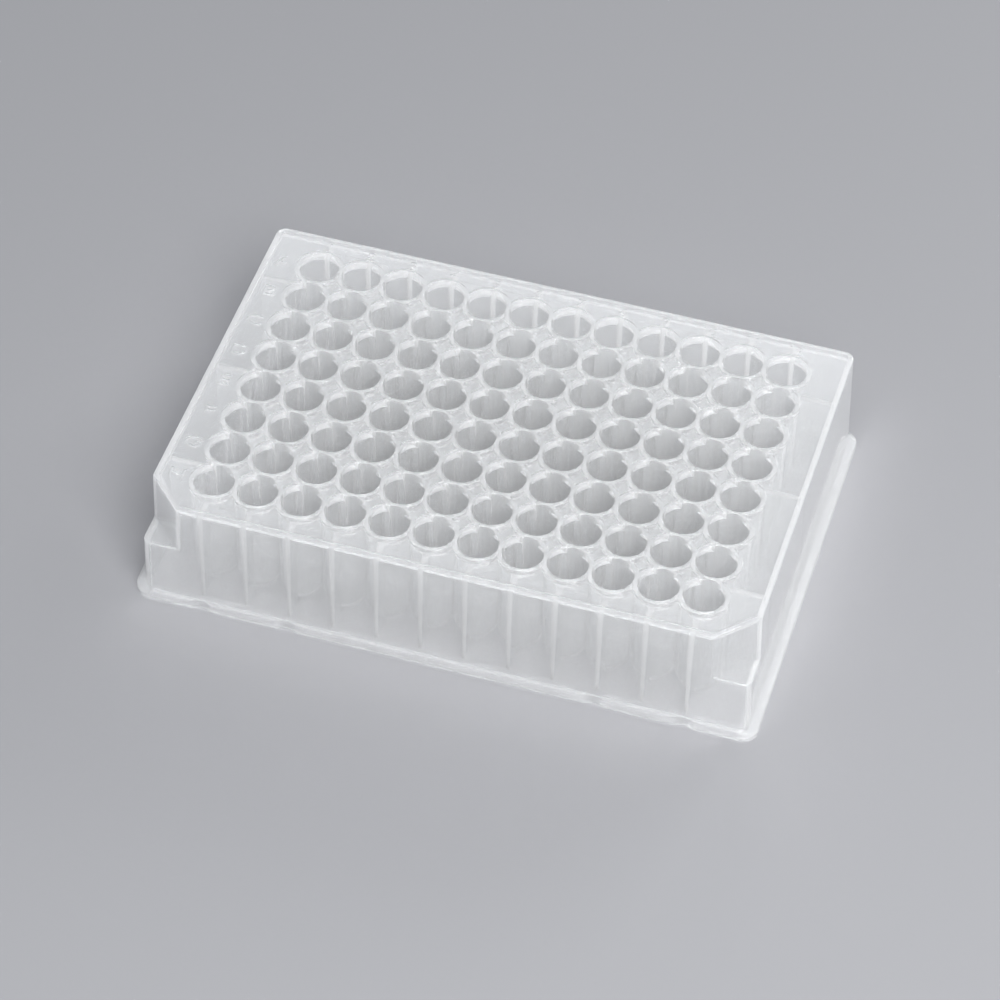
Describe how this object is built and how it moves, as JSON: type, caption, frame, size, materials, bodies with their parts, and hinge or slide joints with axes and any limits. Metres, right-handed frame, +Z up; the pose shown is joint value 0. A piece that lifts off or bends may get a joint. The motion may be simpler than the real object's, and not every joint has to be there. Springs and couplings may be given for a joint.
{
  "type": "well plate",
  "caption": "Deep well plate with a grid of round-bottomed wells, raised well rims, an open skirt and two notched corners.",
  "frame": {"origin": "middle of the foot, on the plane that the plate stands on", "axes": "+X along the rows from column 1 to column 12, +Y across them towards row A, +Z up out of the wells"},
  "size_m": [0.1278, 0.0854, 0.0266],
  "materials": {
    "polypropylene": "natural translucent polypropylene, milky and faintly blue, satin gloss"
  },
  "bodies": {
    "root": {"well_plate": "polypropylene"}
  },
  "joints": []
}
